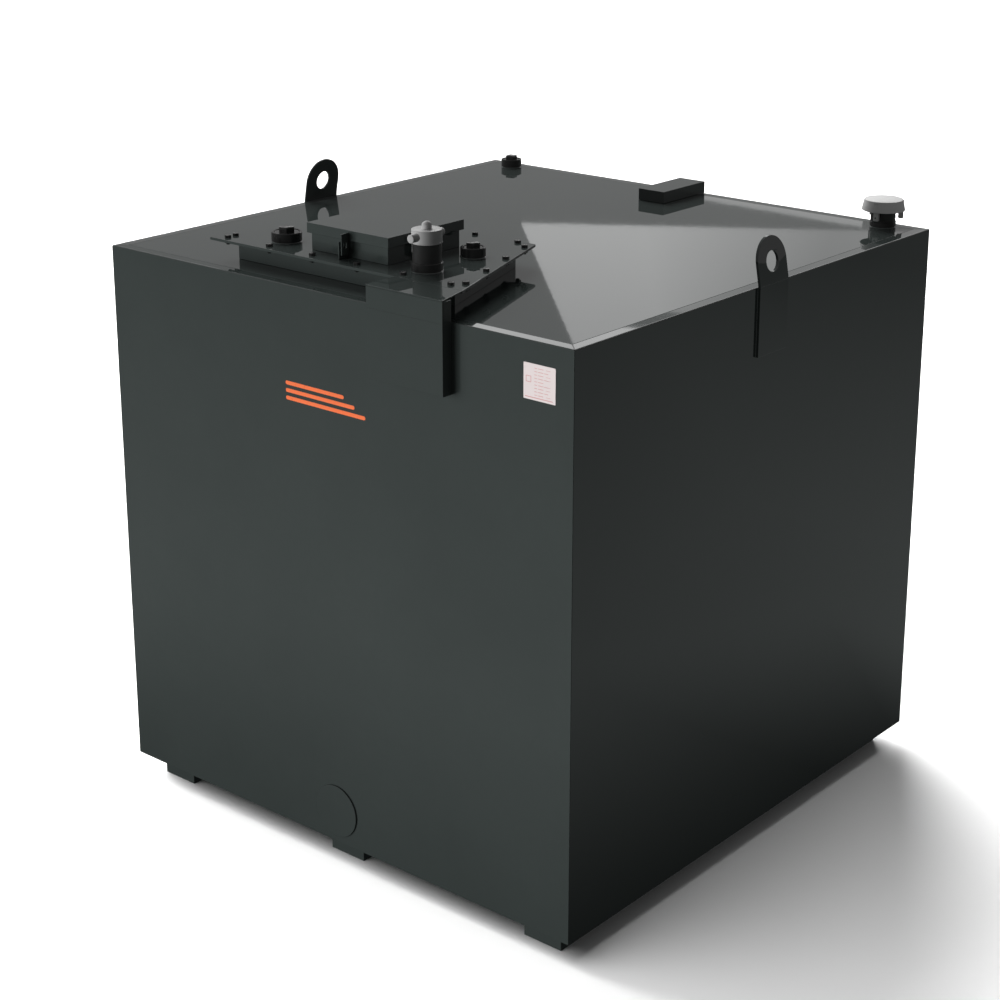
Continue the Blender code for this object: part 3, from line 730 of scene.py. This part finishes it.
def add_painted_pipe_highlights(builder, bottom, place):
    """Two narrow light strips down opposite sides of the pipe, across the camera's view: painted highlights
    on its glossy edges.
    """
    half = PIPE_HIGHLIGHT_WIDTH / 2
    tip = half * PIPE_HIGHLIGHT_TAPER
    near = GAUGE_PIPE_RADIUS - PIPE_HIGHLIGHT_SHEET / 2
    far = GAUGE_PIPE_RADIUS + PIPE_HIGHLIGHT_SHEET / 2
    outline = [(near, -half), (far, -tip), (far, tip), (near, half)]
    rings = [[(x, y, z) for x, y in outline] for z in (bottom - PIPE_HIGHLIGHT_DROP, bottom + CONTACT)]
    for turn in (PIPE_HIGHLIGHT_TURN, PIPE_HIGHLIGHT_TURN + 180.0):
        add_rings(builder, rings, place @ Matrix.Rotation(math.radians(turn), 4, "Z"))


def build_vent():
    """The vent: a black stack with a collar under a white hood that stands on three legs."""
    foot, end, collar, place = round_node("vent_neck")
    step = BODY_TOP + VENT_COLLAR_HEIGHT
    cut = VENT_COLLAR_EDGE
    stack = bmesh.new()
    profile = [(collar, foot), (collar, step - cut), (collar - cut, step), (VENT_NECK_RADIUS, step)]
    profile += [(VENT_NECK_RADIUS, end)]
    add_turned(stack, profile, place)
    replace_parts(new_piece("vent_stack", stack, FITTING_PAINT), "vent_neck")

    low, high = box_of("vent_cap")
    top = high.z
    hood = bmesh.new()
    add_closed_turned(hood, vent_hood_profile((high.x - low.x) / 2, top), place)
    screws = bmesh.new()
    for turn in VENT_LEG_TURNS:
        spin = place @ Matrix.Rotation(math.radians(turn), 4, "Z")
        add_leg(hood, BODY_TOP + VENT_LEG_BOTTOM, top - VENT_SHEET + CONTACT, spin)
        add_leg_screw(screws, BODY_TOP + VENT_LEG_BOTTOM + VENT_SCREW_RISE, spin)
    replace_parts(new_piece("vent_hood", hood, WHITE_PLASTIC), "vent_cap")
    new_piece("vent_leg_screws", screws, BOLT_PAINT)


def vent_hood_profile(rim_radius, top):
    """The hood's radius and height: a thin flared skirt under a flat top with a round edge."""
    rim = BODY_TOP + VENT_RIM
    cut = VENT_RIM_EDGE
    under = top - VENT_SHEET
    profile = [(VENT_CENTRE, top)]
    profile += arc((VENT_TOP_RADIUS - ROUNDING, top - ROUNDING), ROUNDING, VENT_EDGE_START, VENT_EDGE_END)
    profile += [(rim_radius, rim + cut), (rim_radius - cut, rim), (rim_radius - VENT_SHEET, rim)]
    profile += [(VENT_TOP_RADIUS - VENT_SHEET, under), (VENT_CENTRE, under)]
    return profile


def add_leg_screw(builder, height, place):
    """A small screw head on the outer side of one of the vent's legs."""
    seat = place @ Matrix.Translation((VENT_LEG_RADIUS + VENT_LEG_SIDE / 2, 0.0, height))
    screw = VENT_SCREW_RADIUS
    profile = [(screw, -CONTACT), (screw, VENT_SCREW_EDGE), (screw - VENT_SCREW_EDGE, VENT_SCREW_HEIGHT)]
    add_turned(builder, profile, seat @ Matrix.Rotation(math.pi / 2, 4, "Y"), SMALL_STEPS)


def add_leg(builder, bottom, top, place):
    """A square leg of the vent, with its upright corners and its foot broken."""
    half = VENT_LEG_SIDE / 2
    cut = VENT_LEG_EDGE
    rings = []
    for inset, z in ((cut, bottom), (0.0, bottom + cut), (0.0, top)):
        near = VENT_LEG_RADIUS - half + inset
        far = VENT_LEG_RADIUS + half - inset
        side = half - inset
        ring = [(near + cut, -side), (far - cut, -side), (far, -side + cut), (far, side - cut)]
        ring += [(far - cut, side), (near + cut, side), (near, side - cut), (near, -side + cut)]
        rings.append([(x, y, z) for x, y in ring])
    add_rings(builder, rings, place)


def add_bead(builder, path, away, rise, closed):
    """A rippled weld bead in the corner between two surfaces.

    path holds the corner's points, and away and rise the directions along the two surfaces there.
    """
    rows = []
    sink = CONTACT
    travelled = 0.0
    for i, point in enumerate(path):
        if i:
            travelled += (point - path[i - 1]).length
        swell = 1.0 + BEAD_RIPPLE * math.cos(2 * math.pi * travelled / BEAD_PITCH)
        size = BEAD_SIZE * swell
        out = away[i] * size
        up = rise[i] * size
        ring = [point - away[i] * sink - rise[i] * sink, point + out - rise[i] * sink]
        ring += [point + out * BEAD_SHOULDER_FAR + up * BEAD_SHOULDER_NEAR]
        ring += [point + out * BEAD_SHOULDER_NEAR + up * BEAD_SHOULDER_FAR]
        ring += [point + up - away[i] * sink]
        rows.append([builder.verts.new(corner) for corner in ring])
    count = len(rows)
    for i in range(count if closed else count - 1):
        row = rows[i]
        after = rows[(i + 1) % count]
        for j in range(len(row)):
            k = (j + 1) % len(row)
            builder.faces.new((row[j], row[k], after[k], after[j]))
    if not closed:
        builder.faces.new(rows[0])
        builder.faces.new(list(reversed(rows[-1])))


def add_round_bead(builder, node):
    """A bead around the foot of a round fitting."""
    foot, _, radius, place = round_node(node)
    steps = int(2 * math.pi * radius / BEAD_PITCH) * BEAD_RIPPLE_STEPS
    away = [Vector((x, y, 0.0)) for x, y, z in circle(1.0, 0.0, steps)]
    centre = place @ Vector((0.0, 0.0, foot))
    path = [centre + direction * radius for direction in away]
    add_bead(builder, path, away, [Vector((0.0, 0.0, 1.0))] * steps, True)


def build_welds():
    """Weld beads around the feet of the round fittings and beside the lifting lugs."""
    fitting_beads = bmesh.new()
    for node in ("left_socket", "right_socket", "rear_socket", "gauge_socket", "vent_neck"):
        add_round_bead(fitting_beads, node)
    new_piece("fitting_welds", fitting_beads, PAINT)

    lug_beads = bmesh.new()
    for side, node, wall in ((-1, "lifting_lug_left", "left_wall"), (1, "lifting_lug_right", "right_wall")):
        low, high = box_of(node)
        wall_low, wall_high = box_of(wall)
        face = wall_high.x if side > 0 else wall_low.x
        steps = int(LUG_DROP / BEAD_STEP)
        for direction, edge in ((-1, low.y), (1, high.y)):
            heights = [low.z + LUG_DROP * i / steps for i in range(steps + 1)]
            path = [Vector((face, edge, z)) for z in heights]
            away = [Vector((0.0, direction, 0.0))] * len(path)
            rise = [Vector((side, 0.0, 0.0))] * len(path)
            add_bead(lug_beads, path, away, rise, False)
    new_piece("lug_welds", lug_beads, PAINT)


def build_mitre_seams():
    """A fine dark seam across each mitred corner of the folded edges."""
    seams = bmesh.new()
    for side in (-1, 1):
        for end in (-1, 1):
            inward = Vector((-side, -end)).normalized()
            across = Vector((-inward.y, inward.x)) * SEAM_WIDTH / 2
            corner = Vector((side * BODY_HALF_WIDTH, BODY_MIDDLE_Y + end * BODY_HALF_DEPTH))
            near = corner + inward * SEAM_START
            far = corner + inward * FLANGE_WIDTH * math.sqrt(2)
            outline = [near - across, far - across, far + across, near + across]
            heights = (BODY_TOP, BODY_TOP + SEAM_HEIGHT)
            rings = [[(point.x, point.y, z) for point in outline] for z in heights]
            add_rings(seams, rings, Matrix())
    new_piece("mitre_seams", seams, PIPE_BLACK)


def rounded_outline(left, right, bottom, top, radius):
    """A rectangle's outline with round corners, anticlockwise."""
    points = []
    centres = ((right - radius, top - radius), (left + radius, top - radius))
    centres += ((left + radius, bottom + radius), (right - radius, bottom + radius))
    for i, centre in enumerate(centres):
        points += arc(centre, radius, 90.0 * i, 90.0 * i + 90.0, CORNER_STEPS)
    return points


def add_front_plate(builder, outline, back, sheet):
    """A thin plate in front of the front wall; back is the depth of its rear face."""
    rings = [[(x, back, z) for x, z in outline], [(x, back - sheet, z) for x, z in outline]]
    add_rings(builder, rings, Matrix())


def build_data_plate():
    """A white plate with rows of plain ruled dashes and an empty stamp box."""
    face = FRONT_Y - LABEL_SHEET
    plate = bmesh.new()
    outline = rounded_outline(LABEL_LEFT, LABEL_RIGHT, LABEL_BOTTOM, LABEL_TOP, LABEL_CORNER)
    add_front_plate(plate, outline, FRONT_Y, LABEL_SHEET)
    new_piece("data_plate", plate, LABEL_WHITE)
    rules = bmesh.new()
    for left, right, z, height in label_rules():
        outline = [(left, z), (right, z), (right, z + height), (left, z + height)]
        add_front_plate(rules, outline, face, INK_SHEET)
    new_piece("data_plate_rules", rules, LABEL_INK)


def label_rules():
    """The dashes on the data plate, as left, right, bottom and height."""
    rules = []
    for row in range(PRINT_ROWS):
        z = LABEL_TOP - PRINT_TOP - PRINT_PITCH * row
        start = LABEL_LEFT + PRINT_LEFT
        for word in range(2 + row % 2):
            length = DASH_LENGTH + DASH_LENGTH_STEP * ((3 * row + 2 * word) % 3)
            rules.append((start, start + length, z, PRINT_HEIGHT))
            start += length + PRINT_SPACE
        if row % 3 != 1:
            rules.append((LABEL_RIGHT - SIDE_DASH_LEFT, LABEL_RIGHT - SIDE_DASH_RIGHT, z, SIDE_DASH_HEIGHT))
    foot = LABEL_BOTTOM + FOOT_RULE_BOTTOM
    rules.append((LABEL_LEFT + FOOT_RULE_LEFT, LABEL_RIGHT - FOOT_RULE_RIGHT, foot, FOOT_RULE_HEIGHT))
    line = STAMP_LINE
    left = LABEL_LEFT + STAMP_LEFT
    right = left + STAMP_SIDE
    bottom = LABEL_BOTTOM + STAMP_BOTTOM
    rules.append((left, right, bottom, line))
    rules.append((left, right, bottom + STAMP_SIDE - line, line))
    rules.append((left, left + line, bottom + line, STAMP_SIDE - 2 * line))
    rules.append((right - line, right, bottom + line, STAMP_SIDE - 2 * line))
    return rules


def build_marking():
    """Plain orange stripes on the front wall, each a little shorter than the one below it."""
    stripes = bmesh.new()
    for i in range(MARKING_STRIPES):
        bottom = MARKING_BOTTOM + MARKING_PITCH * i
        right = MARKING_RIGHT - MARKING_STEP_BACK * i
        radius = MARKING_STRIPE / 2 - MARKING_END_FLAT
        outline = rounded_outline(MARKING_LEFT, right, bottom, bottom + MARKING_STRIPE, radius)
        add_front_plate(stripes, outline, FRONT_Y, MARKING_SHEET)
    new_piece("front_stripes", stripes, MARKING_ORANGE)


def build_hatch_bolts():
    """Bolt heads on the hatch plate, with nuts and thread ends under it."""
    heads = bmesh.new()
    nuts = bmesh.new()
    under = HATCH_LOW.z
    down = Matrix.Rotation(math.pi, 4, "X")
    for x, y, turn in bolt_places():
        spin = Matrix.Rotation(turn, 4, "Z")
        add_hexagon(heads, BOLT_FLATS, BOLT_HEAD, Matrix.Translation((x, y, HATCH_TOP)) @ spin)
        below = Matrix.Translation((x, y, under)) @ down @ spin
        add_hexagon(nuts, BOLT_FLATS, NUT_HEIGHT, below, True)
        add_turned(nuts, thread_profile(NUT_HEIGHT - CONTACT, THREAD_REACH), below, SMALL_STEPS)
    new_piece("hatch_bolt_heads", heads, BOLT_PAINT)
    new_piece("hatch_bolt_nuts", nuts, BOLT_PAINT)


def add_camera():
    """The camera, level from side to side, in the photograph's place."""
    camera = bpy.data.cameras.new("camera")
    camera.lens = CAMERA_LENS
    camera.sensor_width = SENSOR_WIDTH
    camera.shift_y = CAMERA_SHIFT
    thing = bpy.data.objects.new("camera", camera)
    thing.location = CAMERA_PLACE
    thing.rotation_euler = (math.pi / 2 - CAMERA_DROP, 0.0, CAMERA_TURN)
    bpy.context.scene.collection.objects.link(thing)
    bpy.context.scene.camera = thing


def paint_floor_reflection(material):
    """Show the paper to gloss as a painted reflection: an even, dim emission with a painted shadow beside
    the tank and painted dimming far away.
    """
    tree = material.node_tree
    nodes = Nodes(tree)
    place = nodes.add("ShaderNodeTexCoord").outputs["Object"]
    beyond = beyond_body(nodes, place)[0]
    back = nodes.add("ShaderNodeSeparateXYZ", Vector=place).outputs["Y"]
    # The painted shadow reaches less far from the tank towards its back
    shadow_shrink = spread(nodes, back, 0.0, PAINTED_SHADOW_SHRINK, PAINTED_SHADOW_SHRINK_START, PAINTED_SHADOW_SHRINK_END)
    shadow_distance = calculate(nodes, "ADD", beyond, shadow_shrink)
    # Painted shadow: the emission is dark beside the tank
    outside_painted_shadow = spread(nodes, shadow_distance, 0.0, FLOOR_REFLECTION_TONE, PAINTED_SHADOW_START, PAINTED_SHADOW_END, "SMOOTHSTEP")
    # Painted dimming: the emission grows fainter far from the tank
    painted_far_dimming = spread(nodes, beyond, 1.0, PAINTED_DIMMING_LEVEL, PAINTED_DIMMING_START, PAINTED_DIMMING_END)
    # The paper's emission to gloss is a painted reflection; the paper is no lamp
    painted_reflection_glow = nodes.add("ShaderNodeEmission", Color=FLOOR_REFLECTION_TINT)
    nodes.put(painted_reflection_glow.inputs["Strength"], calculate(nodes, "MULTIPLY", outside_painted_shadow, painted_far_dimming))
    mirrored = nodes.add("ShaderNodeLightPath").outputs["Is Glossy Ray"]
    mix = nodes.add("ShaderNodeMixShader", Fac=mirrored)
    nodes.put(mix.inputs[1], tree.nodes["Principled BSDF"].outputs["BSDF"])
    nodes.put(mix.inputs[2], painted_reflection_glow.outputs["Emission"])
    nodes.put(tree.nodes["Material Output"].inputs["Surface"], mix.outputs["Shader"])


def add_floor():
    """A wide, round sheet of pale paper under the skids."""
    # Gloss sees a painted reflection on the paper in place of its lit tone
    paint_floor_reflection(FLOOR_PAPER)
    builder = bmesh.new()
    bmesh.ops.create_circle(builder, cap_ends=True, radius=FLOOR_RADIUS, segments=FLOOR_STEPS)
    mesh = bpy.data.meshes.new("floor")
    builder.to_mesh(mesh)
    builder.free()
    mesh.materials.append(FLOOR_PAPER)
    floor = bpy.data.objects.new("floor", mesh)
    floor.location.z = CAD_BOX[0][2]
    floor.visible_diffuse = False
    bpy.context.scene.collection.objects.link(floor)


def add_sky():
    """An even, white surround that lights the tank more softly than it looks."""
    world = bpy.data.worlds.new("studio")
    bpy.context.scene.world = world
    world.use_nodes = True
    tree = world.node_tree
    nodes = Nodes(tree)
    background = tree.nodes["Background"]
    background.inputs["Color"].default_value = (1.0, 1.0, 1.0, 1.0)
    ray = nodes.add("ShaderNodeLightPath").outputs
    seen = spread(nodes, ray["Is Camera Ray"], SKY_MIRRORED, SKY_SEEN, 0.0, 1.0)
    lit = spread(nodes, ray["Is Diffuse Ray"], 0.0, SKY_LIGHT - SKY_MIRRORED, 0.0, 1.0)
    nodes.put(background.inputs["Strength"], calculate(nodes, "ADD", seen, lit))


def add_sun(name, strength, width, height, turn):
    """A wide, distant light; width, height and turn are in degrees."""
    sun = bpy.data.lights.new(name, "SUN")
    sun.energy = strength
    sun.angle = math.radians(width)
    thing = bpy.data.objects.new(name, sun)
    aside = math.cos(math.radians(height))
    around = math.radians(turn)
    towards = Vector((aside * math.cos(around), aside * math.sin(around), math.sin(math.radians(height))))
    thing.rotation_euler = towards.to_track_quat("Z", "Y").to_euler()
    bpy.context.scene.collection.objects.link(thing)
    return thing


def link_light(light, state, names):
    """Let a light fall only on the named things (INCLUDE), or on everything but them (EXCLUDE)."""
    group = bpy.data.collections.new(light.name + "_link")
    for name in names:
        group.objects.link(bpy.data.objects[name])
    for entry in group.collection_objects:
        entry.light_linking.link_state = state
    light.light_linking.receiver_collection = group


def let_through(light, names):
    """Let a light shine through the named things, so that they throw no shadow in it."""
    group = bpy.data.collections.new(light.name + "_block")
    for name in names:
        group.objects.link(bpy.data.objects[name])
    for entry in group.collection_objects:
        entry.light_linking.link_state = "EXCLUDE"
    light.light_linking.blocker_collection = group


def add_suns():
    """A key from the left, two lights that shape the floor's shadow, and a fill on the front."""
    key = add_sun("key", **KEY)
    key.visible_glossy = False
    link_light(key, "EXCLUDE", ["floor"])
    link_light(add_sun("floor_key", **FLOOR_KEY), "INCLUDE", ["floor"])
    link_light(add_sun("floor_front", **FLOOR_FRONT), "INCLUDE", ["floor"])
    fill = add_sun("fill", **FILL)
    fill.visible_glossy = False
    link_light(fill, "EXCLUDE", UNFILLED)
    let_through(fill, CLEAR_TO_FILL)


def add_panel(name, corner, across, up, radiance, right_part=1.0):
    """A soft box from one corner and its two sides, lit on the side towards the tank.

    right_part is how bright it is at its right edge, as a part of its brightness at its left.
    """
    light = bpy.data.lights.new(name, "AREA")
    light.shape = "RECTANGLE"
    light.size = across.length
    light.size_y = up.length
    light.energy = radiance * math.pi * across.length * up.length
    light.use_nodes = True
    nodes = Nodes(light.node_tree)
    spot = nodes.add("ShaderNodeNewGeometry").outputs["Parametric"]
    part = nodes.add("ShaderNodeSeparateXYZ", Vector=spot).outputs["X"]
    fall = spread(nodes, part, 1.0, right_part, PANEL_FALL_START, PANEL_FALL_END)
    nodes.put(light.node_tree.nodes["Emission"].inputs["Strength"], fall)
    thing = bpy.data.objects.new(name, light)
    right = across.normalized()
    down = -up.normalized()
    turn = Matrix((right, down, right.cross(down))).transposed().to_4x4()
    thing.matrix_world = Matrix.Translation(corner + (across + up) / 2) @ turn
    thing.visible_camera = False
    thing.visible_diffuse = False
    bpy.context.scene.collection.objects.link(thing)


def add_panels():
    """The panels that the top mirrors: a broad one, a slanting strip under its foot and a band over it."""
    mirrored = Vector(CAMERA_PLACE)
    mirrored.z = 2 * BODY_TOP - mirrored.z
    away = Vector((-math.sin(PANEL_FACING), math.cos(PANEL_FACING), 0.0))
    right = Vector((math.cos(PANEL_FACING), math.sin(PANEL_FACING), 0.0))
    above = Vector((0.0, 0.0, 1.0))
    reach = PANEL_DISTANCE
    centre = mirrored + away * reach

    corner = centre - right * REAR_PANEL_LEFT * reach + above * REAR_PANEL_FOOT * reach
    across = right * (REAR_PANEL_RIGHT + REAR_PANEL_LEFT) * reach
    up = (away * math.cos(REAR_PANEL_LEAN) + above * math.sin(REAR_PANEL_LEAN)) * REAR_PANEL_LENGTH
    add_panel("rear_panel", corner, across, up, REAR_PANEL_RADIANCE, REAR_PANEL_FALL)

    across = (right * math.cos(WEDGE_SLANT) + above * math.sin(WEDGE_SLANT)) * WEDGE_WIDTH
    down = (right * math.sin(WEDGE_SLANT) - above * math.cos(WEDGE_SLANT)) * WEDGE_HEIGHT
    corner = centre - right * WEDGE_ASIDE + above * WEDGE_TOP + down
    add_panel("wedge_panel", corner, across, -down, WEDGE_RADIANCE)

    corner = centre - right * EDGE_PANEL_REACH * reach + above * EDGE_PANEL_FOOT * reach
    across = right * EDGE_PANEL_REACH * 2 * reach
    add_panel("edge_panel", corner, across, above * EDGE_PANEL_HEIGHT, EDGE_PANEL_RADIANCE)


bpy.context.scene.view_settings.view_transform = "Standard"
add_camera()
add_floor()
add_sky()
add_panels()
paint_nodes()
build_hatch_bolts()
for fitting in ("left", "right", "rear"):
    build_plugged_socket(fitting)
build_gauge()
build_vent()
build_welds()
build_mitre_seams()
build_data_plate()
build_marking()
add_suns()
